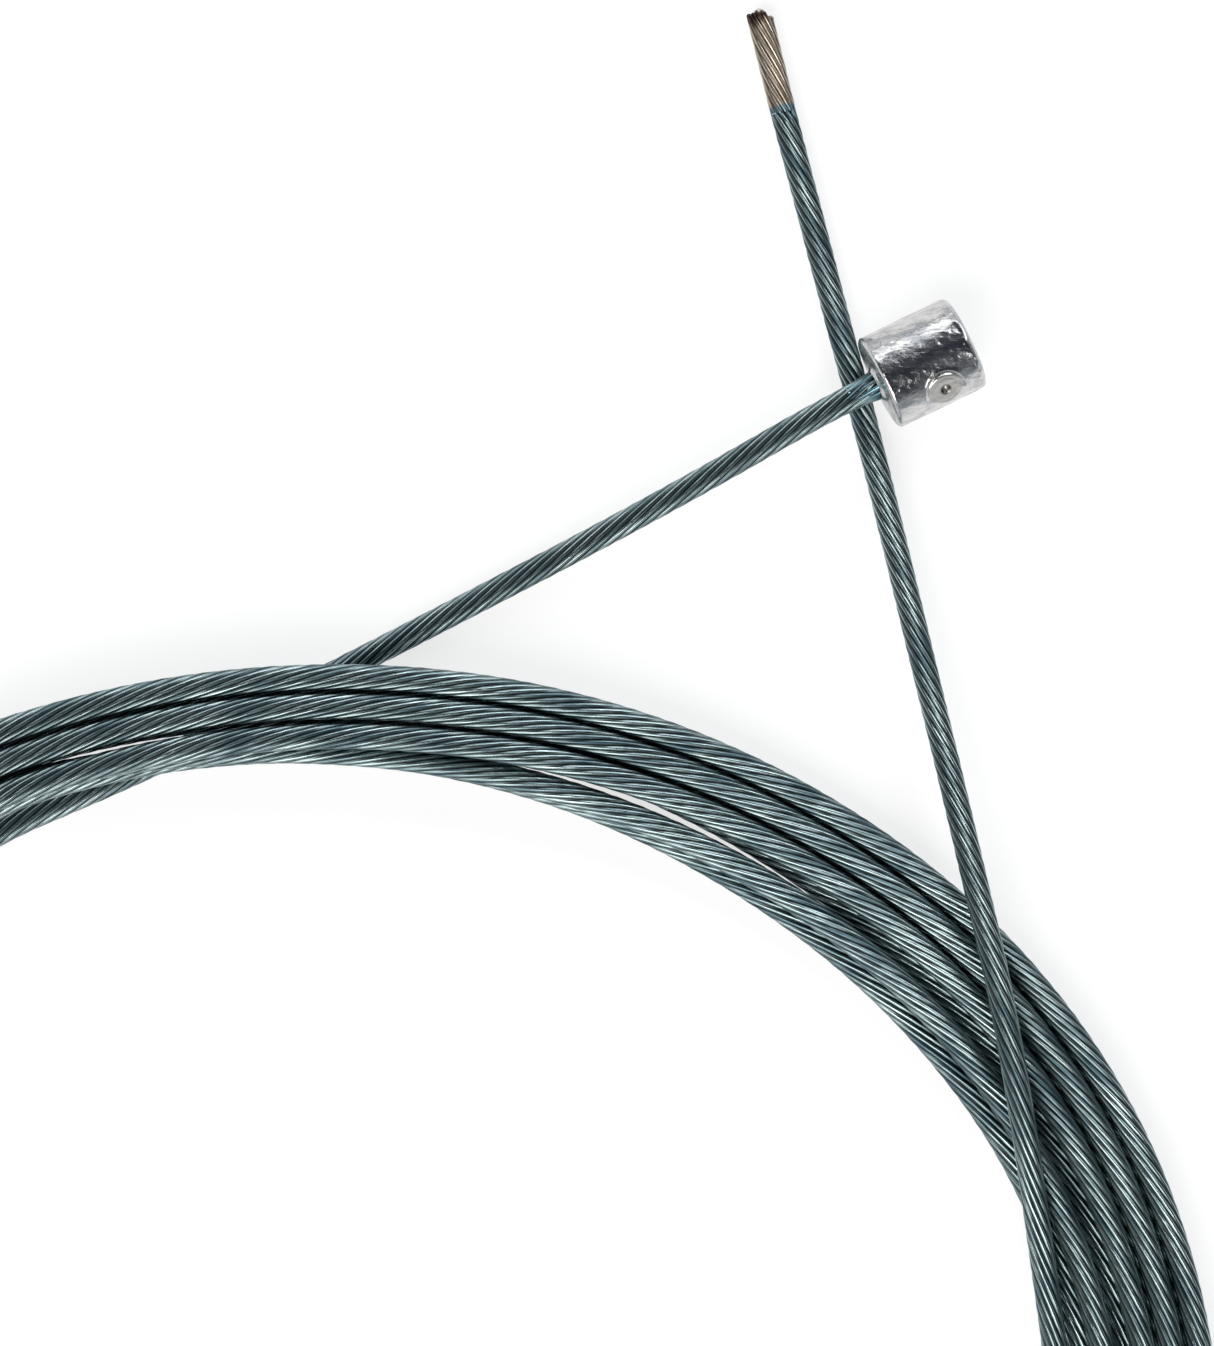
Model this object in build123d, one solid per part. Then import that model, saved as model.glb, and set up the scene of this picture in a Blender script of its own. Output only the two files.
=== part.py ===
# Bicycle gear inner cable: a 1.2 mm wire of 19 steel strands (1 core, 6 inner, 12 outer), wound into a coil.
# One end is die cast into a plain cylindrical nipple, the other is cut and fused.
# Millimetres, +Z up. The cable lies on the plane z = 0, with the origin at the middle of its footprint.
import math
import os

from build123d import *

# the wire
wire_dia = 1.2
strand_dia = 0.225
outer_pitch_radius = 0.486
inner_pitch_radius = 0.243
outer_count = 12
inner_count = 6
lay_length = 9.6  # one turn of the outer strands at the fused end; they wind left-handed

# the nipple
nipple_dia = 4.5
nipple_length = 4.5
nipple_edge = 0.3
mouth_chamfer = 0.12
collar_length = 0.15
collar_radius = 0.9
pit_radius = 0.22
pit_depth = 0.3
pit_place = 2.5  # from the mouth
pit_turn = 46.0  # round from the top, towards the near side
nipple_heading = 26.0  # of its axis, from +X

# how the strands spread inside the casting
cast_in_length = 3.2
outer_spread_radius = 1.35
inner_spread_radius = 0.72
spread_turn = -50.0

# the fused end
tip_length = 4.8
bead_radius = 0.3

# the coil, in polar coordinates about its middle: outer edge every 15 degrees, from +X, anticlockwise
coil_middle = (-3.54, -20.76)
outer_edge = [39.95, 41.03, 41.70, 41.67, 41.24, 40.88, 40.74, 41.07, 41.9, 40.2, 37.1, 34.3,
              32.4, 31.3, 30.7, 30.1, 29.7, 29.5, 29.6, 30.2, 31.6, 33.6, 35.9, 38.1]
# the bundle's width from that edge inwards, at the same angles
bundle_width = [7.4, 7.6, 6.75, 6.6, 6.1, 5.25, 4.8, 4.5, 5.6, 5.8, 5.9, 6.0,
                6.1, 6.2, 6.3, 6.4, 6.5, 6.6, 6.7, 6.8, 6.9, 7.0, 7.2, 7.3]
# its height along X: two turns deep on the right, three on the left, and a hump over the lead on the far side
turns_profile = [(-45, 3.1), (-22, 3.1), (0, 2.65), (20, 2.25), (45, 2.2)]
hump_height = 4.3
hump_profile = [(-45, 2.6), (-28, 2.9), (-18, 3.75), (-9, hump_height), (0, 4.1), (10, 3.0), (20, 1.9), (45, 1.2)]
edge_round = 0.5

# The routes of the two free stretches, about the coil's middle.
# The lead runs from the nipple's mouth down to the table and in under the turns.
lead_route = [
    (24.27, 53.81, 2.25), (21.60, 52.47, 2.25), (17.20, 49.91, 1.93), (11.70, 46.88, 1.45),
    (5.50, 43.63, 0.95), (0.70, 41.16, 0.70), (-5.00, 38.25, 0.70),
]
# The tail climbs out of the coil, crosses over its turns, comes down, passes under the lead and lies flat.
tail_route = [
    (32.65, 8.75, 1.10), (31.75, 14.50, 1.75), (30.93, 19.40, 2.95), (29.80, 26.00, 2.90),
    (28.65, 30.90, 2.88), (27.52, 36.00, 2.35), (26.00, 42.60, 1.70), (24.78, 48.00, 1.15),
    (23.74, 52.40, 0.72), (22.69, 56.30, 0.60), (21.32, 61.60, 0.60), (20.08, 66.30, 0.60),
]
tip_end = (18.89, 71.15, 0.60)


def placed(point):
    return Vector(point[0] + coil_middle[0], point[1] + coil_middle[1], point[2])


def rounded_path(points, name):
    # straight runs joined by tangent arcs, each as large as its two runs allow
    places = [placed(p) for p in points]
    radii = []
    for before, corner, after in zip(places, places[1:], places[2:]):
        turn = (corner - before).get_angle(after - corner)
        shorter = min((corner - before).length, (after - corner).length)
        radii.append(0.45 * shorter / math.tan(math.radians(turn / 2)))
    print(name, "radii", [round(r, 1) for r in radii])
    return FilletPolyline(*places, radius=radii)


def tube(points, name):
    path = rounded_path(points, name)
    start = Plane(origin=path @ 0, z_dir=path % 0)
    solid = sweep(start * Circle(wire_dia / 2), path=path)
    section = math.pi * wire_dia**2 / 4
    print(name, "length", round(path.length, 2), "volume over section", round(solid.volume / section, 2))
    return solid


def ring_edge(inset):
    # a closed outline through the stations of the outer edge, moved inwards by the inset at each
    places = []
    for number, (radius, inwards) in enumerate(zip(outer_edge, inset)):
        angle = math.radians(360 / len(outer_edge) * number)
        reach = radius - inwards
        places.append(placed((reach * math.cos(angle), reach * math.sin(angle), 0)))
    return Spline(*places, periodic=True)


def slice_below(profile):
    # everything under a height profile given along X, as one wide block
    reach = 60
    low = [placed((x, -reach, z)) for x, z in profile]
    top = Spline(*low)
    foot = [Vector(p.X, p.Y, -1) for p in (low[0], low[-1])]
    outline = Wire([top, Line(low[-1], foot[1]), Line(foot[1], foot[0]), Line(foot[0], low[0])])
    return extrude(Face(outline), amount=2 * reach + 20, dir=(0, 1, 0))


def coil():
    level = [0.0] * len(outer_edge)
    flat = make_face(ring_edge(level)) - make_face(ring_edge(bundle_width))
    ring = extrude(flat, amount=hump_height)
    far_side = Pos(*placed((0, 45, 0))) * Box(120, 50, 12)
    solid = (ring & slice_below(turns_profile)) + (ring & slice_below(hump_profile) & far_side)
    return fillet(solid.edges().filter_by(lambda e: e.center().Z < 0.001 and e.length > 1), edge_round)


def nipple_frame():
    # origin in the middle of the mouth's face, +Z along the axis away from the wire, +X level, +Y up
    heading = math.radians(nipple_heading)
    axis = Vector(math.cos(heading), math.sin(heading), 0)
    return Plane(origin=placed(lead_route[0]), z_dir=axis, x_dir=Vector(-math.sin(heading), math.cos(heading), 0))


def nipple_strand(radius, spread_radius, angle):
    # a straight strand that leans outwards and round as it goes into the casting
    start, end = math.radians(angle), math.radians(angle + spread_turn)
    foot = Vector(radius * math.cos(start), radius * math.sin(start), -collar_length)
    head = Vector(spread_radius * math.cos(end), spread_radius * math.sin(end), cast_in_length)
    line = Line(foot, head)
    return Plane(origin=foot, z_dir=head - foot) * Cylinder(
        strand_dia / 2, line.length, align=(Align.CENTER, Align.CENTER, Align.MIN)
    )


def nipple_strands():
    strands = {"nipple_core_wire": nipple_strand(0, 0, 0)}
    for number in range(inner_count):
        angle = 360 / inner_count * number
        strands[f"nipple_inner_wire_{number + 1}"] = nipple_strand(inner_pitch_radius, inner_spread_radius, angle)
    for number in range(outer_count):
        angle = 360 / outer_count * (number + 0.5)
        strands[f"nipple_outer_wire_{number + 1:02d}"] = nipple_strand(outer_pitch_radius, outer_spread_radius, angle)
    return strands


def nipple_casting(strands):
    radius = nipple_dia / 2
    body = Cylinder(radius, nipple_length, align=(Align.CENTER, Align.CENTER, Align.MIN))
    body = fillet(body.edges().sort_by(Axis.Z)[-1], nipple_edge)
    body = chamfer(body.edges().sort_by(Axis.Z)[0], mouth_chamfer)
    collar = Pos(0, 0, -collar_length) * Cone(
        collar_radius - 0.15, collar_radius, collar_length, align=(Align.CENTER, Align.CENTER, Align.MIN)
    )
    # where the metal was poured in, a small pit faces up and towards the near side
    turn = math.radians(pit_turn)
    outwards = Vector(-math.sin(turn), math.cos(turn), 0)
    pit = Plane(origin=(0, 0, pit_place), z_dir=outwards).offset(radius) * Cone(
        pit_radius / 2, pit_radius, pit_depth, align=(Align.CENTER, Align.CENTER, Align.MAX)
    )
    casting = body + collar - pit
    for strand in strands.values():
        casting -= strand
    return casting


def tip_frame():
    # origin where the heat tint starts, +Z along the wire towards its end, +X level, +Y up
    end = placed(tip_end)
    along = (end - placed(tail_route[-1])).normalized()
    return Plane(origin=end - along * tip_length, z_dir=along, x_dir=Vector(-along.Y, along.X, 0))


def tip_strand(radius, angle, length):
    # a left-handed helix about the wire's axis
    helix = Helix(pitch=lay_length, height=length, radius=radius, lefthand=True)
    start = Plane(origin=helix @ 0, z_dir=helix % 0)
    return Rot(0, 0, angle) * sweep(start * Circle(strand_dia / 2), path=helix, is_frenet=True)


def tip_strands():
    shorter = bead_radius
    strands = {"tip_core_wire": Cylinder(strand_dia / 2, tip_length - shorter,
                                         align=(Align.CENTER, Align.CENTER, Align.MIN))}
    for number in range(inner_count):
        angle = 360 / inner_count * number
        strands[f"tip_inner_wire_{number + 1}"] = tip_strand(inner_pitch_radius, angle, tip_length - shorter)
    for number in range(outer_count):
        angle = 360 / outer_count * (number + 0.5)
        cut_back = 0.30 + 0.14 * math.sin(2.4 * number)  # each is burnt off at its own length
        strands[f"tip_outer_wire_{number + 1:02d}"] = tip_strand(outer_pitch_radius, angle, tip_length - cut_back)
    return strands


def tip_bead():
    # the core and the inner strands end in one small drop of melted steel
    dome = Sphere(bead_radius) & Pos(0, 0, bead_radius / 2) * Box(1, 1, bead_radius)
    return Pos(0, 0, tip_length - bead_radius) * dome


def outside_coil(solid):
    # the stretch that runs free, up to the coil's own surface
    return (solid - coil_solid).solids().sort_by(SortBy.VOLUME)[-1]


nipple_place = nipple_frame()
tip_place = tip_frame()
coil_solid = coil()
mouth_back = placed(lead_route[0]) - nipple_place.z_dir * collar_length
lead_points = [tuple(mouth_back - Vector(*coil_middle))] + lead_route[1:]
tip_start = tuple(tip_place.origin - Vector(*coil_middle))
tail_points = tail_route[:-1] + [tip_start]

nodes = {
    "wire_coil": coil_solid,
    "wire_lead": outside_coil(tube(lead_points, "wire_lead")),
    "wire_tail": outside_coil(tube(tail_points, "wire_tail")),
    "tip_bead": tip_place * tip_bead(),
}
cast_in = nipple_strands()
nodes["nipple_casting"] = nipple_place * nipple_casting(cast_in)
nodes.update({name: nipple_place * strand for name, strand in cast_in.items()})
nodes.update({name: tip_place * strand for name, strand in tip_strands().items()})

os.makedirs("parts", exist_ok=True)
for name, shape in nodes.items():
    export_step(shape, f"parts/{name}.step")
whole = Compound(children=list(nodes.values())).bounding_box()
print("whole", whole.min, whole.max)
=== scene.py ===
# A coiled bicycle gear inner cable: 1.2 mm wire of laid steel strands, with a cast nipple on one end
# and the other end fused. Sizes in the dictionaries are in millimetres, and mm brings them to metres.
import math

import bpy
import numpy as np
from mathutils import Matrix, Vector


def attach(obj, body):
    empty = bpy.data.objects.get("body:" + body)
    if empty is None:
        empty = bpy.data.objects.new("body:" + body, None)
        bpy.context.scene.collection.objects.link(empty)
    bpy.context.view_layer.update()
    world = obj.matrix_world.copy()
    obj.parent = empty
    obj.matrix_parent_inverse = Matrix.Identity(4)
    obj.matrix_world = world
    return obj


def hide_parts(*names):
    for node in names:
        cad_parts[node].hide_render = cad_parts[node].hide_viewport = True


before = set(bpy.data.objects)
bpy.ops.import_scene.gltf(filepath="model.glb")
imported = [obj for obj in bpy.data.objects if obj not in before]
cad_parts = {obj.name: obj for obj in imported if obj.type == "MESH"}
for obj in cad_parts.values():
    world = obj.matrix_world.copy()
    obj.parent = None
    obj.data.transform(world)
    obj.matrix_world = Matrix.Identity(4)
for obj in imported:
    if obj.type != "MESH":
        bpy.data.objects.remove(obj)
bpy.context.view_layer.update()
mm = 0.001

view = {
    "middle": (8.35, 19.79, 1.0),  # of what is seen
    "height": 61.66,  # of what is seen
    "distance": 900.0,
    "lean": 6.0,  # degrees away from straight above
    "leanTowards": 206.0,
    "filmHeight": 36.0,
}


def direction(azimuth, fromTop):
    # the unit vector at an azimuth from +X and an angle from straight up, in degrees
    a, t = math.radians(azimuth), math.radians(fromTop)
    return Vector((math.cos(a) * math.sin(t), math.sin(a) * math.sin(t), math.cos(t)))


def addCamera():
    # looks along its own -Z at the middle of the view, with the row's +Y upwards in the picture
    camera = bpy.data.objects.new("camera", bpy.data.cameras.new("camera"))
    bpy.context.scene.collection.objects.link(camera)
    back = direction(view["leanTowards"], view["lean"])
    right = Vector((0, 1, 0)).cross(back).normalized()
    place = Vector(view["middle"]) * mm + back * view["distance"] * mm
    axes = Matrix((right, back.cross(right), back)).transposed().to_4x4()
    camera.matrix_world = Matrix.Translation(place) @ axes
    camera.data.sensor_width = view["filmHeight"]
    camera.data.lens = view["filmHeight"] * view["distance"] / view["height"]
    camera.data.clip_start, camera.data.clip_end = 0.05, 20
    bpy.context.scene.camera = camera


addCamera()
print("camera placed")

# the cable's route, in millimetres about the coil's middle
route = {
    "coilMiddle": (-3.54, -20.76),
    "lead": [
        (24.14, 53.75, 2.25), (21.60, 52.47, 2.25), (17.20, 49.91, 1.93), (11.70, 46.88, 1.45),
        (5.50, 43.63, 0.95), (0.90, 41.26, 0.66), (-5.00, 38.25, 0.60), (-9.75, 35.90, 0.60),
    ],
    "tail": [
        (32.65, 8.75, 1.10), (31.75, 14.50, 1.75), (30.93, 19.40, 2.95), (29.80, 26.00, 2.90),
        (28.65, 30.90, 2.88), (27.52, 36.00, 2.35), (26.00, 42.60, 1.70), (24.78, 48.00, 1.15),
        (23.74, 52.40, 0.72), (22.69, 56.30, 0.60), (21.32, 61.60, 0.60), (20.08, 66.30, 0.60),
    ],
    "tipEnd": (18.89, 71.15, 0.60),
    "tipLength": 4.8,
}
coil = {
    # the outer edge every 15 degrees, from +X, anticlockwise
    "outerEdge": [39.95, 41.03, 41.70, 41.67, 41.24, 40.88, 40.74, 41.07, 41.9, 40.2, 37.1, 34.3,
                  32.4, 31.3, 30.7, 30.1, 29.7, 29.5, 29.6, 30.2, 31.6, 33.6, 35.9, 38.1],
    # where each pass lies as (inset from that edge, height), on the right and then on the left
    "right": [(7.0, 0.60), (5.95, 0.60), (4.00, 0.60), (2.60, 0.60), (1.28, 0.60),
              (0.62, 1.60), (1.93, 1.62), (3.25, 1.60), (5.08, 1.55), (6.90, 1.05)],
    "left": [(5.08, 0.60), (3.60, 0.60), (2.00, 0.60), (0.60, 0.60), (1.35, 1.54),
             (0.60, 2.48), (1.95, 2.48), (3.36, 2.48), (2.75, 1.54)],
    "firstStation": 8,  # the first of the stations on the loop, at 120 degrees
    "cornerCut": 0.9914,  # a spline with points this far apart runs this much inside them
    "humpHeight": 1.2,  # over the lead, which runs under every turn
    "hump": (63.0, 86.0, 117.0, 139.0),  # rises, full, full, down again, in degrees
}


def eased(value, start, end):
    # 0 before start, 1 after end, and a smooth step between
    t = min(max((value - start) / (end - start), 0.0), 1.0)
    return t * t * (3 - 2 * t)


def between(first, second, share):
    return [a + (b - a) * share for a, b in zip(first, second)]


def passPlace(number, angle):
    # where a pass lies at an angle from 15 to 375: it moves from its right place to its left one, then to
    # the next pass's right one
    if angle >= 130:
        return between(coil["left"][number], coil["right"][number + 1], eased(angle, 130, 375))
    right, left = coil["right"][number], coil["left"][number]
    share = eased(angle, 40, 105) if number in (1, 2) else eased(angle, 45, 125)
    if number == len(coil["left"]) - 1:  # the inmost one slides in under its neighbours late
        share = min(max((angle - 45) / 75, 0.0), 1.0) ** 1.6
    inset = right[0] + (left[0] - right[0]) * share
    return inset, right[1] + (left[1] - right[1]) * eased(angle, 50, 95)


def coilPoints():
    # one point every 15 degrees, winding anticlockwise from the lead to the tail
    count = len(coil["outerEdge"])
    step = 360 / count
    up, full, last, down = coil["hump"]
    points = []
    for station in range(coil["firstStation"], count * len(coil["left"]) + 1):
        number = (station - 1) // count
        angle = (station - number * count) * step
        inset, height = passPlace(number, angle)
        if number > 0:
            height += coil["humpHeight"] * eased(angle, up, full) * (1 - eased(angle, last, down))
        reach = (coil["outerEdge"][station % count] - inset) / coil["cornerCut"]
        turn = math.radians(angle)
        points.append((reach * math.cos(turn), reach * math.sin(turn), height))
    return points


def placed(point):
    # from millimetres about the coil's middle to metres in the row's frame
    x, y = route["coilMiddle"]
    return Vector((point[0] + x, point[1] + y, point[2])) * mm


def routePoints():
    end = placed(route["tipEnd"])
    last = placed(route["tail"][-1])
    tipStart = end - (end - last).normalized() * route["tipLength"] * mm
    turns = [placed(p) for p in route["lead"] + coilPoints() + route["tail"][:-1]]
    return turns + [tipStart]


def smoothLine(points):
    # the points of one NURBS spline that has the route's points as its control points
    data = bpy.data.curves.new("route", "CURVE")
    data.dimensions = "3D"
    spline = data.splines.new("NURBS")
    spline.points.add(len(points) - 1)
    spline.points.foreach_set("co", np.array([(*p, 1.0) for p in points]).ravel())
    spline.order_u = 3
    spline.use_endpoint_u = True
    spline.resolution_u = 40
    holder = bpy.data.objects.new("route", data)
    bpy.context.scene.collection.objects.link(holder)
    flat = bpy.data.meshes.new_from_object(holder)
    line = np.empty(len(flat.vertices) * 3)
    flat.vertices.foreach_get("co", line)
    bpy.data.meshes.remove(flat)
    bpy.data.objects.remove(holder)
    bpy.data.curves.remove(data)
    return line.reshape(-1, 3)


def arcLength(line):
    steps = np.linalg.norm(np.diff(line, axis=0), axis=1)
    return np.concatenate([[0.0], np.cumsum(steps)])


def atLengths(line, lengths):
    # the points of a line at these lengths along it
    along = arcLength(line)
    return np.stack([np.interp(lengths, along, line[:, axis]) for axis in range(3)], axis=1)


def sidesAlong(line):
    # level side and upward unit vectors at each point of a line that never stands upright
    tangent = np.gradient(line, axis=0)
    tangent /= np.linalg.norm(tangent, axis=1, keepdims=True)
    side = np.cross([0.0, 0.0, 1.0], tangent)
    side /= np.linalg.norm(side, axis=1, keepdims=True)
    return side, np.cross(tangent, side)


def carried(line, radius, angle):
    # a section carried along a line: radius and angle give it at each point, as (rows, columns)
    side, up = sidesAlong(line)
    across = (radius * np.cos(angle))[..., None] * side[:, None]
    upwards = (radius * np.sin(angle))[..., None] * up[:, None]
    return line[:, None] + across + upwards


def closedSurface(points, first):
    # faces and corner parameters of a grid closed round its columns, with a fan at each end; the first
    # vertex has the number first, and the fans' middles come after the grid's vertices
    rows, columns = points.shape[:2]
    row, column = np.meshgrid(np.arange(rows - 1), np.arange(columns), indexing="ij")
    after = (column + 1) % columns
    corners = [row * columns + column, row * columns + after]
    corners += [(row + 1) * columns + after, (row + 1) * columns + column]
    quads = np.stack(corners, -1).reshape(-1, 4) + first
    across = np.stack([column, column + 1, column + 1, column], -1).reshape(-1, 4)
    along = np.stack([row, row, row + 1, row + 1], -1).reshape(-1, 4)
    around = np.arange(columns)
    ahead = (around + 1) % columns
    low, high = rows * columns, rows * columns + 1
    last = (rows - 1) * columns
    start = np.stack([np.full(columns, low), ahead, around], -1) + first
    end = np.stack([np.full(columns, high), last + around, last + ahead], -1) + first
    capAcross = np.concatenate([np.stack([around, around + 1, around], -1)] * 2)
    capAlong = np.concatenate([np.zeros((columns, 3), int), np.full((columns, 3), rows - 1)])
    vertices = np.concatenate([points.reshape(-1, 3), [points[0].mean(0)], [points[-1].mean(0)]])
    faces = quads.tolist() + start.tolist() + end.tolist()
    across = np.concatenate([across.ravel(), capAcross.ravel()])
    along = np.concatenate([along.ravel(), capAlong.ravel()])
    return vertices, faces, across, along


def makePiece(name, grids, material):
    # one mesh from closed surfaces, each given as (points, u of every column edge, v of every row)
    vertices, faces, uv, first = [], [], [], 0
    for points, across, along in grids:
        these, theirFaces, column, row = closedSurface(points, first)
        vertices.append(these)
        faces += theirFaces
        uv.append(np.stack([across[column], along[row]], -1))
        first += len(these)
    mesh = bpy.data.meshes.new(name)
    mesh.from_pydata(np.concatenate(vertices).tolist(), [], faces)
    mesh.uv_layers.new(name="UVMap").uv.foreach_set("vector", np.concatenate(uv).astype(np.float32).ravel())
    mesh.shade_smooth()
    mesh.materials.append(material)
    piece = bpy.data.objects.new(name, mesh)
    bpy.context.scene.collection.objects.link(piece)
    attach(piece, "root")
    print(name, "made,", len(faces), "faces")
    return piece


def smoothNoise(shape, cells, seed):
    # seeded values on a coarse lattice, eased between its points, and closed round the columns
    lattice = np.random.default_rng(seed).uniform(-1, 1, (cells[0] + 1, cells[1]))
    row = np.linspace(0, cells[0] - 1e-6, shape[0])[:, None]
    column = np.linspace(0, cells[1], shape[1], endpoint=False)[None]
    r, c = row.astype(int), column.astype(int)
    fr, fc = row - r, column - c
    fr, fc = fr * fr * (3 - 2 * fr), fc * fc * (3 - 2 * fc)
    beside = (c + 1) % cells[1]
    near = lattice[r, c] * (1 - fc) + lattice[r, beside] * fc
    far = lattice[r + 1, c] * (1 - fc) + lattice[r + 1, beside] * fc
    return near * (1 - fr) + far * fr


def addNode(tree, kind, sockets=None, **settings):
    # one shader node: sockets are values or other nodes' outputs, settings are the node's own properties
    made = tree.nodes.new(kind)
    for key, value in settings.items():
        setattr(made, key, value)
    for key, value in (sockets or {}).items():
        if isinstance(value, bpy.types.NodeSocket):
            tree.links.new(value, made.inputs[key])
        else:
            made.inputs[key].default_value = value
    return made


def sums(tree, operation, *values):
    return addNode(tree, "ShaderNodeMath", dict(enumerate(values)), operation=operation).outputs[0]


def mixed(tree, share, first, second):
    # inputs 0, 6 and 7 of a colour mix are its share and its two colours
    return addNode(tree, "ShaderNodeMix", {0: share, 6: first, 7: second}, data_type="RGBA").outputs[2]


def noise(tree, vector, scale, detail, **more):
    # more holds further inputs of the noise, by their names in lower case
    sockets = {"Vector": vector, "Scale": scale, "Detail": detail}
    sockets.update({name.capitalize(): value for name, value in more.items()})
    return addNode(tree, "ShaderNodeTexNoise", sockets).outputs[0]


def ramped(tree, value, low, high, lowTo=0.0, highTo=1.0):
    sockets = {"Value": value, "From Min": low, "From Max": high, "To Min": lowTo, "To Max": highTo}
    return addNode(tree, "ShaderNodeMapRange", sockets, interpolation_type="SMOOTHSTEP").outputs[0]


def newGroup(name, inputs, outputs):
    tree = bpy.data.node_groups.new(name, "ShaderNodeTree")
    for way, sockets in (("INPUT", inputs), ("OUTPUT", outputs)):
        for label, (kind, value) in sockets.items():
            made = tree.interface.new_socket(name=label, in_out=way, socket_type="NodeSocket" + kind)
            if value is not None:
                made.default_value = value
    return tree, tree.nodes.new("NodeGroupInput"), tree.nodes.new("NodeGroupOutput")


def strandFinishAndShadeGroup():
    # drawn strands from the UV map: u counts the strands, whose troughs are at whole numbers and carry
    # painted shade, and v is in millimetres
    tree, given, result = newGroup(
        "strandFinishAndShade",
        {
            "Dark": ("Color", (0.1, 0.1, 0.1, 1)), "Light": ("Color", (0.5, 0.5, 0.5, 1)),
            "Trough Shade": ("Color", (0.01, 0.01, 0.01, 1)), "Trough Width": ("Float", 0.5),
            "Patch Scale": ("Float", 200.0), "Smooth": ("Float", 0.25), "Rough": ("Float", 0.5),
        },
        {"Color": ("Color", None), "Roughness": ("Float", None), "Height": ("Float", None)},
    )
    uv = addNode(tree, "ShaderNodeUVMap").outputs[0]
    parts = addNode(tree, "ShaderNodeSeparateXYZ", {0: uv})
    inStrand = sums(tree, "FRACT", parts.outputs[0])
    offCrest = sums(tree, "MULTIPLY", sums(tree, "ABSOLUTE", sums(tree, "SUBTRACT", inStrand, 0.5)), 2.0)
    # painted shade: this mask darkens the troughs between the strands towards a near-black colour, and
    # roughens them a little
    edge = sums(tree, "SUBTRACT", 1.0, given.outputs["Trough Width"])
    troughShade = addNode(
        tree, "ShaderNodeMapRange", {"Value": offCrest, "From Min": edge, "From Max": 1.0},
        interpolation_type="SMOOTHSTEP",
    ).outputs[0]
    # fine die lines run along each strand
    sockets = {0: uv, 1: (5.0, 0.35, 1.0)}
    stretched = addNode(tree, "ShaderNodeVectorMath", sockets, operation="MULTIPLY").outputs[0]
    lines = noise(tree, stretched, 1.0, 3.0)
    # each strand has a tone of its own
    strand = addNode(tree, "ShaderNodeTexWhiteNoise", {"W": sums(tree, "FLOOR", parts.outputs[0])},
                     noise_dimensions="1D").outputs["Value"]
    place = addNode(tree, "ShaderNodeTexCoord").outputs["Object"]
    patch = noise(tree, place, given.outputs["Patch Scale"], 4.0, roughness=0.6)
    tone = sums(tree, "ADD", sums(tree, "MULTIPLY", lines, 0.5), sums(tree, "MULTIPLY", patch, 0.5))
    tone = sums(tree, "ADD", tone, sums(tree, "MULTIPLY", sums(tree, "SUBTRACT", strand, 0.5), 0.12))
    colour = mixed(tree, ramped(tree, tone, 0.34, 0.66), given.outputs["Dark"], given.outputs["Light"])
    colour = mixed(tree, troughShade, colour, given.outputs["Trough Shade"])
    tree.links.new(colour, result.inputs["Color"])
    smoother = sums(tree, "SUBTRACT", given.outputs["Smooth"], given.outputs["Rough"])
    wear = sums(tree, "MULTIPLY_ADD", ramped(tree, tone, 0.3, 0.7), smoother, given.outputs["Rough"])
    tree.links.new(sums(tree, "ADD", wear, sums(tree, "MULTIPLY", troughShade, 0.25)), result.inputs["Roughness"])
    tree.links.new(lines, result.inputs["Height"])
    return tree


strandFinishAndShade = strandFinishAndShadeGroup()


def newMaterial(name, metallic, settings):
    # a Principled material; settings are values for its own sockets
    material = bpy.data.materials.new(name)
    material.use_nodes = True
    tree = material.node_tree
    shader = tree.nodes["Principled BSDF"]
    shader.inputs["Metallic"].default_value = metallic
    for key, value in settings.items():
        shader.inputs[key].default_value = value
    return material, tree, shader


def bumped(tree, shader, height, distance):
    bump = addNode(tree, "ShaderNodeBump", {"Height": height, "Distance": distance, "Strength": 1.0})
    tree.links.new(bump.outputs[0], shader.inputs["Normal"])


def strandMaterial(name, looks):
    # steel strands with the shared strand look and painted trough shade; looks are the group's own inputs
    material, tree, shader = newMaterial(name, 1.0, {})
    finishAndShade = addNode(tree, "ShaderNodeGroup", looks, node_tree=strandFinishAndShade)
    tree.links.new(finishAndShade.outputs["Color"], shader.inputs["Base Color"])
    tree.links.new(finishAndShade.outputs["Roughness"], shader.inputs["Roughness"])
    bumped(tree, shader, finishAndShade.outputs["Height"], 0.00001)
    return material, tree, shader, finishAndShade


# the near-black trough colour is painted shade between the strands
wireSteel = strandMaterial("coatedSteel", {
    "Dark": (0.065, 0.115, 0.135, 1), "Light": (0.42, 0.52, 0.53, 1), "Trough Shade": (0.002, 0.004, 0.005, 1),
    "Trough Width": 0.85, "Patch Scale": 260.0, "Smooth": 0.16, "Rough": 0.36,
})[0]

wire = {
    "diameter": 1.2,
    "strands": 12,
    "pitchRadius": 0.4765,
    "strandRadius": 0.1235,
    "troughRadius": 0.47,  # drawn tight, so the troughs are shallower than round strands would leave
    "columnsPerStrand": 4,
    "lay": 11.9,  # one turn of the strands, in the coil
    "tailLay": ([0.0, 30.0, 46.0], [9.6, 9.7, 11.9]),  # by the distance from the fused end
    "loosening": 0.14,  # of its radius, where it enters the casting
    "looseLength": 2.2,
    "nearStep": 0.62,  # between the mesh's rings where the camera sees them, and elsewhere
    "farStep": 1.32,
}


def ringLengths(line):
    # lengths along the line for the rings, closer together inside the camera's view
    along = arcLength(line)
    middle = np.array(view["middle"][:2]) * mm
    half = np.array([0.5 * 1214 / 1346, 0.5]) * (view["height"] + 5) * mm
    seen = (np.abs(line[:, :2] - middle) < half).all(axis=1)
    density = 1 / (np.where(seen, wire["nearStep"], wire["farStep"]) * mm)
    rings = np.concatenate([[0.0], np.cumsum(np.diff(along) * density[1:])])
    count = int(rings[-1])
    return np.interp(np.linspace(0, rings[-1], count + 1), rings, along)


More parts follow.
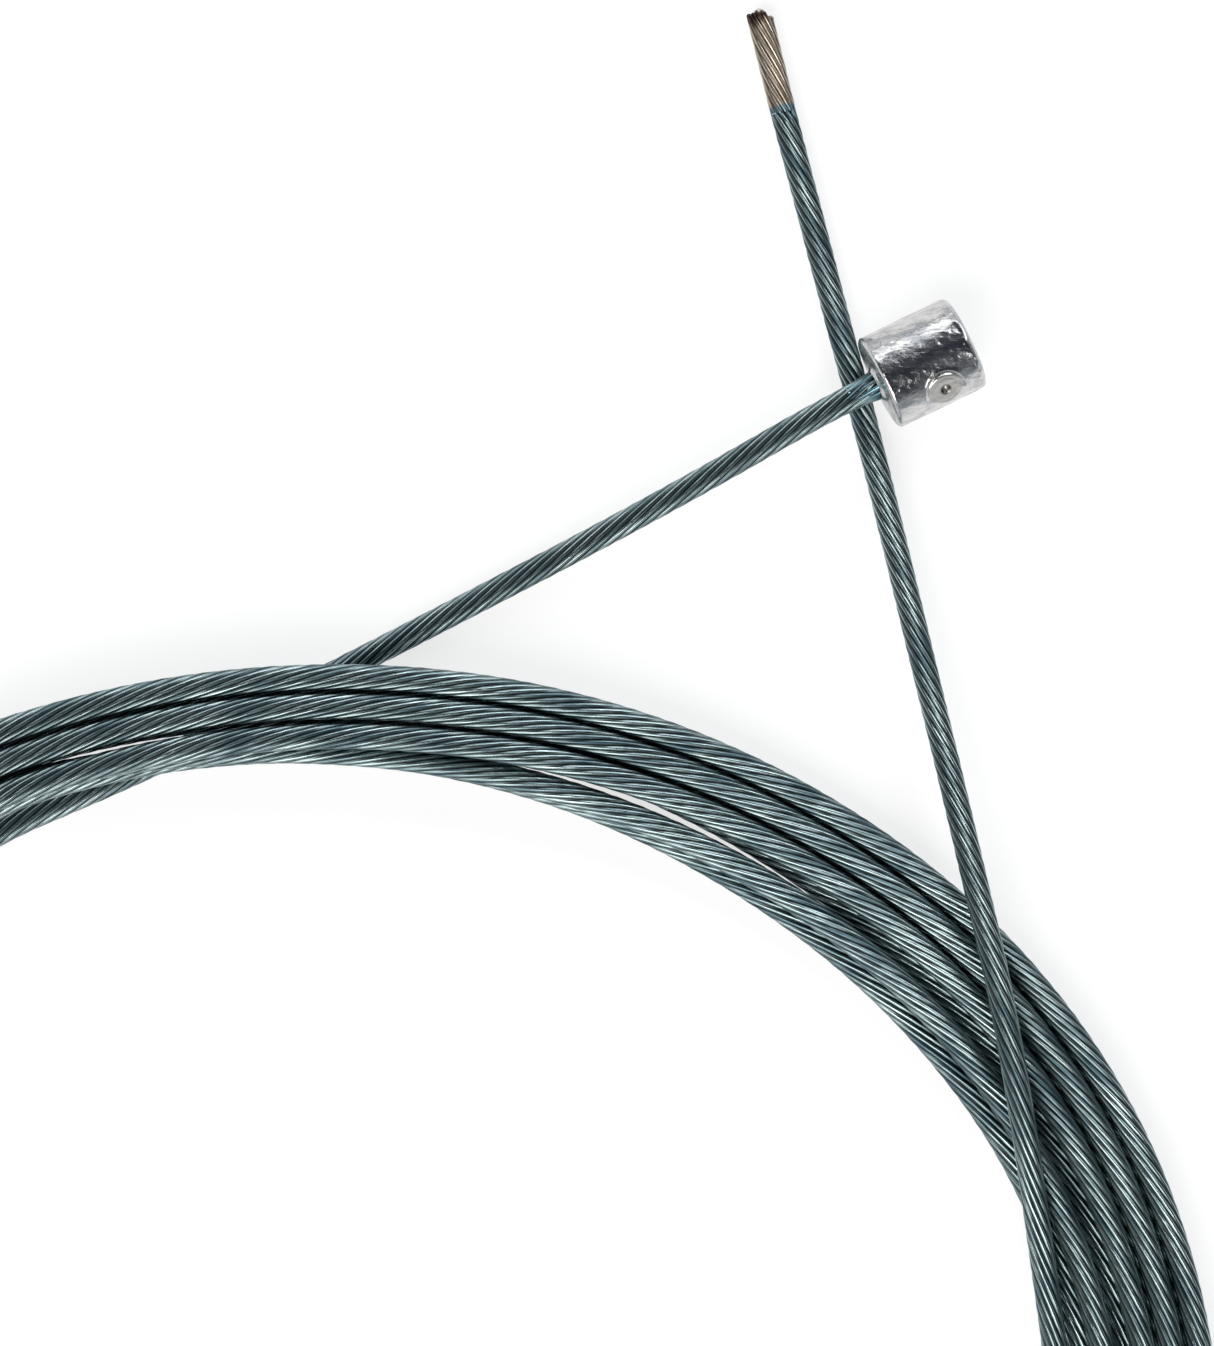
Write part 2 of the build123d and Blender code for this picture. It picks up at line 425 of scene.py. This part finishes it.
def strandPhase(lengths, total):
    # how far the strands have turned at each length: left-handed, so the angle falls
    fromEnd = (total - lengths) / mm
    distances, lays = wire["tailLay"]
    lay = np.interp(fromEnd, distances, lays) * mm
    turns = np.diff(lengths) * 2 * math.pi / ((lay[1:] + lay[:-1]) / 2)
    return -np.concatenate([[0.0], np.cumsum(turns)])


def strandedSection():
    # radius and angle round a section with one lobe for each strand: the outside of a circle off the middle
    perStrand = wire["columnsPerStrand"]
    columns = wire["strands"] * perStrand
    angle = np.arange(columns) * 2 * math.pi / columns
    pitch = 2 * math.pi / wire["strands"]
    offCrest = angle % pitch - pitch / 2
    reach = wire["pitchRadius"]
    inside = np.maximum(wire["strandRadius"] ** 2 - (reach * np.sin(offCrest)) ** 2, 0)
    radius = np.maximum(reach * np.cos(offCrest) + np.sqrt(inside), wire["troughRadius"])
    return radius * mm, angle


routeLine = smoothLine(routePoints())
cableLength = arcLength(routeLine)[-1]
ringAt = ringLengths(routeLine)
wireLine = atLengths(routeLine, ringAt)
wirePhase = strandPhase(ringAt, cableLength)
sectionRadius, sectionAngle = strandedSection()
# the strands loosen a little where they enter the casting
opened = 1 + wire["loosening"] * np.clip(1 - ringAt / mm / wire["looseLength"], 0, 1) ** 2
wireGrid = carried(wireLine, opened[:, None] * sectionRadius, sectionAngle[None] + wirePhase[:, None])
columnEdges = np.arange(len(sectionAngle) + 1) / wire["columnsPerStrand"]
gearWire = makePiece("gearWire", [(wireGrid, columnEdges, ringAt / mm)], wireSteel)
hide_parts("wire_coil", "wire_lead", "wire_tail")
print("cable length", round(cableLength, 4))

strand = {
    "radius": 0.1235,
    "columns": 14,
    "rowStep": 0.12,
    "castIn": 3.2,  # how far the outer strands reach into the casting
    "spread": 1.35,
    "spreadTurn": -50.0,
    "startBefore": 1.5,  # how far before the mouth the strands part from the wire
    # how far each is outside the wire's own strands, at the mouth
    "parting": [0.04, 0.16, 0.02, 0.11, 0.20, 0.05, 0.15, 0.01, 0.09, 0.19, 0.04, 0.14],
    "roundedEnd": 0.11,
}
tip = {
    "lay": 9.6,
    "cutBack": 0.34,  # how much shorter the outer strands are than the end, on average
    "slant": 0.20,  # more on one side and less on the other
    "slantTowards": 200.0,
    "uneven": 0.07,
    "overlap": 0.15,  # with the wire
    "endRows": (0.09, 0.06, 0.035, 0.015, 0.0),  # before the end, where the strand rounds off
    "beadRadius": 0.33,
    "beadLumps": 0.10,  # of its radius
    "beadRows": 16,
    "beadColumns": 24,
}


def roundStrand(line):
    # a round strand along a line, whose last rows draw in as a quarter circle does
    angle = np.arange(strand["columns"]) * 2 * math.pi / strand["columns"]
    left = arcLength(line)[-1] - arcLength(line)
    inwards = 1 - np.clip(left / (strand["roundedEnd"] * mm), 0, 1)
    radius = strand["radius"] * mm * np.sqrt(np.clip(1 - inwards**2, 0.02, 1))
    return carried(line, radius[:, None], np.tile(angle, (len(line), 1)))


def strandGrid(line, number, alongFrom):
    # u keeps each strand's own number, with its crest in the middle, and v is in millimetres
    angle = np.arange(strand["columns"] + 1) * 2 * math.pi / strand["columns"]
    across = number + 0.5 + 0.3 * np.cos(angle)
    return roundStrand(line), across, alongFrom + arcLength(line) / mm


def helixLine(origin, axis, radius, angle, distance):
    # origin + distance along the axis + radius at the angle, from the level side vector round to up
    axis = np.array(axis)
    side = np.cross([0.0, 0.0, 1.0], axis)
    side /= np.linalg.norm(side)
    up = np.cross(axis, side)
    out = np.cos(angle)[:, None] * side + np.sin(angle)[:, None] * up
    return np.array(origin) + distance[:, None] * axis + radius[:, None] * out


def tipStrandGrids():
    # twelve left-handed helices that carry on from the wire's own strands, each burnt off at its own length
    end, start = placed(route["tipEnd"]), wireLine[-1]
    axis = np.array((end - Vector(start)).normalized())
    grids = []
    for number in range(wire["strands"]):
        first = wirePhase[-1] + (number + 0.5) * 2 * math.pi / wire["strands"]
        atEnd = first - 2 * math.pi * route["tipLength"] / tip["lay"]
        facing = math.cos(atEnd - math.radians(tip["slantTowards"]))
        cut = tip["cutBack"] + tip["slant"] * facing + tip["uneven"] * math.sin(2.4 * number)
        length = route["tipLength"] - cut
        distance = np.linspace(-tip["overlap"], length, int(length / strand["rowStep"]) + 8)
        distance = np.unique(np.concatenate([distance[:-1], length - np.array(tip["endRows"])]))
        angle = first - 2 * math.pi * distance / tip["lay"]
        radius = np.full(len(distance), wire["pitchRadius"] * mm)
        line = helixLine(start, axis, radius, angle, distance * mm)
        grids.append(strandGrid(line, number, -route["tipLength"]))
    return grids


nipple = {
    "mouth": (24.27, 53.81, 2.25),
    "heading": 26.0,
    "radius": 2.25,
    "length": 4.5,
    "collar": 0.15,
    "chamfer": 0.12,
    "edge": 0.3,
    "rows": 190,
    "columns": 300,
    "castRoughness": 0.009,
    "dents": 0.014,
    "farEdgeLumps": 0.03,
}


def nippleFrame():
    # the middle of the mouth, and the casting's axis, level side and up
    heading = math.radians(nipple["heading"])
    axis = np.array([math.cos(heading), math.sin(heading), 0.0])
    return placed(nipple["mouth"]), axis, np.array([-axis[1], axis[0], 0.0]), np.array([0.0, 0.0, 1.0])


def mouthStrandGrids():
    # the outer strands part from the wire a little before the mouth and lean outwards into the casting
    mouth = nippleFrame()[0]
    start = strand["startBefore"]
    origin = atLengths(routeLine, [(start - nipple["collar"]) * mm])[0]
    axis = (np.array(mouth) - origin) / np.linalg.norm(np.array(mouth) - origin)
    count = int((start + strand["castIn"]) / strand["rowStep"])
    distance = np.linspace(-start, strand["castIn"], count)
    angleFrom = np.interp((start - nipple["collar"]) * mm, ringAt, wirePhase)
    grids = []
    for number in range(wire["strands"]):
        first = -angleFrom - (number + 0.5) * 2 * math.pi / wire["strands"]
        outside = np.clip((distance + start) / start, 0, 1)
        inside = np.clip(distance / strand["castIn"], 0, 1)
        radius = wire["pitchRadius"] + strand["parting"][number] * outside**2
        radius = radius + (strand["spread"] - radius) * inside
        angle = first + math.radians(strand["spreadTurn"]) * (distance + start) / (start + strand["castIn"])
        line = helixLine(mouth, axis, radius * mm, angle, distance * mm)
        grids.append(strandGrid(line, number, 0.0))
    return grids


gateMark = {
    "place": 2.5,  # of its middle, from the mouth
    "turn": 46.0,  # round from the top, towards the near side
    "radius": 0.9,
    "flatDepth": 0.07,
    "flatRadius": 0.84,
    "softEdge": 0.02,  # of the flat and the pit
    "groove": 0.07,
    "grooveWidth": 0.055,
    "rim": 0.03,
    "rimRadius": 1.01,
    "rimWidth": 0.06,
    "ringEnds": (0.12, 0.06),  # where the groove and its rim fade out, round the barrel, and how softly
    "step": (0.018, 0.62, 0.012),  # its height, radius and softness
    "pitRadius": 0.17,
    "pitDepth": 0.28,
    "pitNarrowing": 0.75,
}


def castingOutline():
    # distance along the axis and radius, from inside the collar round to the far face's middle
    radius, length, edge = nipple["radius"], nipple["length"], nipple["edge"]
    chamfer, collar = nipple["chamfer"], nipple["collar"]
    roll = np.radians(np.linspace(0, 90, 9))
    corners = [(-collar, 0.35), (-collar, 0.74), (0.05 - collar, 0.82), (-0.03, 0.9), (0.0, 0.98)]
    corners += [(0.02, 1.2), (0.0, radius - 0.4), (0.02, radius - chamfer)]
    corners += [(chamfer - 0.02, radius - 0.02), (chamfer + 0.04, radius)]
    corners += [(length - edge + edge * math.sin(a), radius - edge + edge * math.cos(a)) for a in roll]
    corners += [(length, radius - 0.45), (length - 0.03, 1.2), (length - 0.03, 0.03)]
    corners = np.array(corners)
    along = np.concatenate([[0], np.cumsum(np.linalg.norm(np.diff(corners, axis=0), axis=1))])
    at = np.unique(np.concatenate([np.linspace(0, along[-1], nipple["rows"]), along]))
    return np.interp(at, along, corners[:, 0]), np.interp(at, along, corners[:, 1])


def softStep(value, edge, softness):
    # 1 below the edge and 0 above it
    return 1 / (1 + np.exp((value - edge) / softness))


def ridge(value, middle, width):
    # 1 at the middle, falling off like a bell on both sides
    return np.exp(-(((value - middle) / width) ** 2))


def gateRelief(distance, angle):
    # height above the barrel: a flat with a small step, a groove with a rim round its upper side, and a pit
    radius = nipple["radius"]
    off = (angle - math.radians(90 + gateMark["turn"]) + math.pi) % (2 * math.pi) - math.pi
    near = np.abs(off) < 1.2
    across = radius * np.sin(np.where(near, off, 1.2))
    reach = np.hypot(across, distance - gateMark["place"])
    flat = (radius - gateMark["flatDepth"]) / np.cos(np.where(near, off, 0)) - radius
    flat = flat * softStep(reach, gateMark["flatRadius"], gateMark["softEdge"])
    groove = gateMark["groove"] * ridge(reach, gateMark["radius"], gateMark["grooveWidth"])
    rim = gateMark["rim"] * ridge(reach, gateMark["rimRadius"], gateMark["rimWidth"])
    upper = softStep(off, *gateMark["ringEnds"])
    height, stepRadius, softness = gateMark["step"]
    step = height * softStep(reach, stepRadius, softness)
    pitReach = np.hypot(across * gateMark["pitNarrowing"], distance - gateMark["place"])
    pit = gateMark["pitDepth"] * softStep(pitReach, gateMark["pitRadius"], gateMark["softEdge"])
    return np.where(near, flat + upper * (rim - groove) + step - pit, 0.0)


def nippleGrid():
    # the outline turned about the axis, then moved outwards by the gate mark, dents and cast roughness
    origin, axis, side, up = nippleFrame()
    distance, radius = castingOutline()
    angle = np.arange(nipple["columns"]) * 2 * math.pi / nipple["columns"]
    shape = (len(distance), nipple["columns"])
    onBarrel = (radius > nipple["radius"] - 0.02) & (distance > nipple["chamfer"]) & (distance < 4.3)
    relief = gateRelief(distance[:, None], angle[None]) * onBarrel[:, None]
    rough = smoothNoise(shape, (60, 90), 4) * 0.5 + smoothNoise(shape, (24, 36), 5)
    dents = -np.clip(smoothNoise(shape, (40, 70), 6) - 0.72, 0, 1) * 4
    farEdge = ridge(distance, nipple["length"] - 0.25, 0.2)[:, None] * smoothNoise(shape, (12, 40), 7)
    outwards = relief + nipple["castRoughness"] * rough + nipple["dents"] * dents
    outwards = outwards + nipple["farEdgeLumps"] * farEdge
    offAxis = np.clip(radius[:, None] - 0.6, 0, 1)  # the faces' middles stay level
    reach = np.maximum(radius[:, None] + outwards * offAxis, 0.02) * mm
    spokes = np.cos(angle)[None, :, None] * side + np.sin(angle)[None, :, None] * up
    points = np.array(origin) + distance[:, None, None] * mm * axis + reach[..., None] * spokes
    return points, np.arange(nipple["columns"] + 1) / nipple["columns"], np.arange(len(distance)) + 1.0


zinc = {
    "dark": (0.36, 0.37, 0.40, 1),
    "light": (0.66, 0.65, 0.635, 1),
    "speck": (0.25, 0.26, 0.28, 1),
    "roughness": (0.30, 0.16),  # of the dark and the light metal
    "blotchScale": 900.0,
    "flowScale": 1500.0,
    "flowStretch": (0.25, 1.6, 1.6),  # along the nipple and across it
    "fineScale": 5200.0,
    "relief": 0.00004,
    "gateColour": (0.50, 0.48, 0.44, 1),
    "gateShare": 0.6,
    "gateDulling": 0.15,
    "gateEdge": (0.80, 0.92),
    "pitShadeColour": (0.03, 0.02, 0.02, 1),
    "pitShadeEdge": (0.20, 0.34),
}


def castZinc():
    # bright die-cast metal: blotchy tone and roughness, flow marks, and fine scratches
    material, tree, shader = newMaterial("castZinc", 1.0, {})
    place = addNode(tree, "ShaderNodeTexCoord").outputs["Object"]
    blotch = noise(tree, place, zinc["blotchScale"], 6.0, roughness=0.65)
    fine = noise(tree, place, zinc["fineScale"], 4.0)
    turned = addNode(tree, "ShaderNodeMapping", {
        "Vector": place, "Rotation": (0, 0, math.radians(-nipple["heading"])), "Scale": zinc["flowStretch"],
    }).outputs[0]
    flow = noise(tree, turned, zinc["flowScale"], 5.0, distortion=0.6)
    tone = sums(tree, "ADD", sums(tree, "MULTIPLY", blotch, 0.6), sums(tree, "MULTIPLY", flow, 0.4))
    colour = mixed(tree, ramped(tree, tone, 0.35, 0.65), zinc["dark"], zinc["light"])
    colour = mixed(tree, ramped(tree, fine, 0.62, 0.75), colour, zinc["speck"])
    # the gate mark is a duller, warmer disc, and the pit in its middle is painted near-black as shade in the
    # hollow
    origin, axis, side, up = nippleFrame()
    turn = math.radians(gateMark["turn"])
    middle = np.array(origin) + gateMark["place"] * mm * axis
    middle = middle + nipple["radius"] * mm * (math.cos(turn) * up - math.sin(turn) * side)
    sockets = {0: place, 1: tuple(middle)}
    reach = addNode(tree, "ShaderNodeVectorMath", sockets, operation="DISTANCE").outputs["Value"]
    disc = ramped(tree, reach, *[edge * mm for edge in zinc["gateEdge"]], 1.0, 0.0)
    pit = ramped(tree, reach, *[edge * mm for edge in zinc["pitShadeEdge"]], 1.0, 0.0)
    colour = mixed(tree, sums(tree, "MULTIPLY", disc, zinc["gateShare"]), colour, zinc["gateColour"])
    colour = mixed(tree, pit, colour, zinc["pitShadeColour"])
    tree.links.new(colour, shader.inputs["Base Color"])
    dull = ramped(tree, tone, 0.35, 0.65, *zinc["roughness"])
    dull = sums(tree, "ADD", dull, sums(tree, "MULTIPLY", disc, zinc["gateDulling"]))
    tree.links.new(dull, shader.inputs["Roughness"])
    height = sums(tree, "ADD", blotch, sums(tree, "MULTIPLY", flow, 0.7))
    bumped(tree, shader, sums(tree, "ADD", height, sums(tree, "MULTIPLY", fine, 0.2)), zinc["relief"])
    return material


heat = {
    "burntColour": (0.035, 0.018, 0.016, 1),
    "coolColour": (0.13, 0.20, 0.225, 1),
    "burntTo": (0.35, 0.95),  # from the end: all burnt, and not burnt
    "coolFrom": (4.45, 4.70),  # from the end: tinted, and as cool as the wire
    "raggedness": 1.2,
    "meltedDark": (0.05, 0.035, 0.03, 1),
    "meltedLight": (0.62, 0.58, 0.53, 1),
}


def burntSteel():
    # heat-tinted strands by the distance from the end: dark brown, then bronze, then blue-grey where the
    # heat stopped; the narrow troughs between the strands carry painted shade
    material, tree, shader, finishAndShade = strandMaterial("burntSteel", {
        "Dark": (0.17, 0.135, 0.10, 1), "Light": (0.52, 0.45, 0.37, 1), "Trough Shade": (0.02, 0.014, 0.01, 1),
        "Trough Width": 0.1, "Patch Scale": 900.0, "Smooth": 0.24, "Rough": 0.45,
    })
    end = placed(route["tipEnd"])
    back = tuple((Vector(wireLine[-1]) - end).normalized())
    place = addNode(tree, "ShaderNodeTexCoord").outputs["Object"]
    away = addNode(tree, "ShaderNodeVectorMath", {0: place, 1: tuple(end)}, operation="SUBTRACT").outputs[0]
    sockets = {0: away, 1: back}
    fromEnd = addNode(tree, "ShaderNodeVectorMath", sockets, operation="DOT_PRODUCT").outputs["Value"]
    ragged = sums(tree, "SUBTRACT", noise(tree, place, 1400.0, 3.0), 0.5)
    ragged = sums(tree, "MULTIPLY", ragged, heat["raggedness"] * mm)
    warm = sums(tree, "ADD", fromEnd, ragged)
    burntShare = ramped(tree, warm, *[edge * mm for edge in heat["burntTo"]], 1.0, 0.0)
    cold = sums(tree, "ADD", fromEnd, sums(tree, "MULTIPLY", ragged, 0.3))
    coolShare = ramped(tree, cold, *[edge * mm for edge in heat["coolFrom"]])
    colour = mixed(tree, burntShare, finishAndShade.outputs["Color"], heat["burntColour"])
    colour = mixed(tree, coolShare, colour, heat["coolColour"])
    tree.links.new(colour, shader.inputs["Base Color"])
    return material


def meltedSteel():
    # a drop of melted steel, partly under dark scale
    material, tree, shader = newMaterial("meltedSteel", 1.0, {})
    place = addNode(tree, "ShaderNodeTexCoord").outputs["Object"]
    scale = noise(tree, place, 3500.0, 5.0)
    colour = mixed(tree, ramped(tree, scale, 0.42, 0.6), heat["meltedDark"], heat["meltedLight"])
    tree.links.new(colour, shader.inputs["Base Color"])
    tree.links.new(ramped(tree, scale, 0.4, 0.6, 0.4, 0.15), shader.inputs["Roughness"])
    bumped(tree, shader, scale, 0.00004)
    return material


def beadGrid():
    # a small drop: a dome about the wire's axis, with a lumpy surface
    end, start = placed(route["tipEnd"]), Vector(wireLine[-1])
    axis = np.array((end - start).normalized())
    rows, columns = tip["beadRows"], tip["beadColumns"]
    rise = np.radians(np.linspace(-35, 88, rows))
    angle = np.arange(columns) * 2 * math.pi / columns
    radius = tip["beadRadius"] * (1 + tip["beadLumps"] * smoothNoise((rows, columns), (4, 6), 9))
    side = np.cross([0.0, 0.0, 1.0], axis)
    up = np.cross(axis, side)
    spokes = np.cos(angle)[None, :, None] * side + np.sin(angle)[None, :, None] * up
    middle = np.array(end) - (tip["beadRadius"] + 0.02) * mm * axis
    points = middle + (radius * np.sin(rise)[:, None] * mm)[..., None] * axis
    points = points + (radius * np.cos(rise)[:, None] * mm)[..., None] * spokes
    return points, np.arange(columns + 1) / columns, np.arange(rows) / rows


# the near-black trough colour is painted shade between the strands
strandSteel = strandMaterial("mouthSteel", {
    "Dark": (0.05, 0.15, 0.19, 1), "Light": (0.32, 0.54, 0.60, 1), "Trough Shade": (0.01, 0.02, 0.025, 1),
    "Trough Width": 0.12, "Patch Scale": 700.0, "Smooth": 0.2, "Rough": 0.42,
})[0]
burnt = burntSteel()
numbers = [f"{number + 1:02d}" for number in range(wire["strands"])]
tipStrands = makePiece("tipStrands", tipStrandGrids(), burnt)
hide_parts(*["tip_outer_wire_" + number for number in numbers])
tipBead = makePiece("tipBead", [beadGrid()], meltedSteel())
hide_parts("tip_bead")
mouthStrands = makePiece("mouthStrands", mouthStrandGrids(), strandSteel)
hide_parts(*["nipple_outer_wire_" + number for number in numbers])
nippleCasting = makePiece("nippleCasting", [nippleGrid()], castZinc())
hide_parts("nipple_casting")
for part, material in (("tip", burnt), ("nipple", strandSteel)):
    for name in ["core_wire"] + [f"inner_wire_{number + 1}" for number in range(6)]:
        node = bpy.data.objects[f"{part}_{name}"]
        node.material_slots[0].material = material
print("strands, bead and nipple made")

stage = {"size": 3.0, "drop": 0.05, "white": 0.3, "glow": 0.74}
lamps = {
    # azimuth and angle from straight up, distance and (width, depth) in metres, watts, colour
    "keyPanel": (240, 42, 1.2, (1.2, 1.0), 16, (1.0, 0.98, 0.95)),
    "fillPanel": (60, 50, 1.2, (0.9, 0.6), 7, (0.95, 0.98, 1.0)),
    "sidePanel": (112, 62, 1.2, (0.9, 0.5), 2.5, (1.0, 1.0, 1.0)),
}
sky = {"overhead": (0.012, 0.018, 0.032, 1), "low": (0.5, 0.53, 0.55, 1), "from": 0.8, "to": 0.1}


def addStage():
    half, low = stage["size"] / 2, -stage["drop"] * mm
    mesh = bpy.data.meshes.new("floor")
    corners = [(-half, -half, low), (half, -half, low), (half, half, low), (-half, half, low)]
    mesh.from_pydata(corners, [], [(0, 1, 2, 3)])
    floor = bpy.data.objects.new("floor", mesh)
    bpy.context.scene.collection.objects.link(floor)
    white = (stage["white"],) * 3 + (1,)
    sheet = newMaterial("whiteSheet", 0.0, {
        "Base Color": white, "Roughness": 0.9, "Emission Color": (1, 1, 1, 1),
        "Emission Strength": stage["glow"],
    })
    mesh.materials.append(sheet[0])


def addLamps():
    middle = Vector(view["middle"]) * mm
    for name, (azimuth, fromTop, distance, size, watts, colour) in lamps.items():
        data = bpy.data.lights.new(name, "AREA")
        data.shape, data.size, data.size_y = "RECTANGLE", *size
        data.energy, data.color = watts, colour
        lamp = bpy.data.objects.new(name, data)
        bpy.context.scene.collection.objects.link(lamp)
        away = direction(azimuth, fromTop)
        lamp.location = middle + away * distance
        lamp.rotation_euler = away.to_track_quat("Z", "Y").to_euler()
    world = bpy.data.worlds.new("studio")
    world.use_nodes = True
    tree = world.node_tree
    look = addNode(tree, "ShaderNodeTexCoord").outputs["Generated"]
    height = addNode(tree, "ShaderNodeSeparateXYZ", {0: look}).outputs[2]
    colour = mixed(tree, ramped(tree, height, sky["to"], sky["from"]), sky["low"], sky["overhead"])
    tree.links.new(colour, tree.nodes["Background"].inputs["Color"])
    bpy.context.scene.world = world
    bpy.context.scene.view_settings.view_transform = "Standard"


addStage()
addLamps()
print("stage and lamps placed")
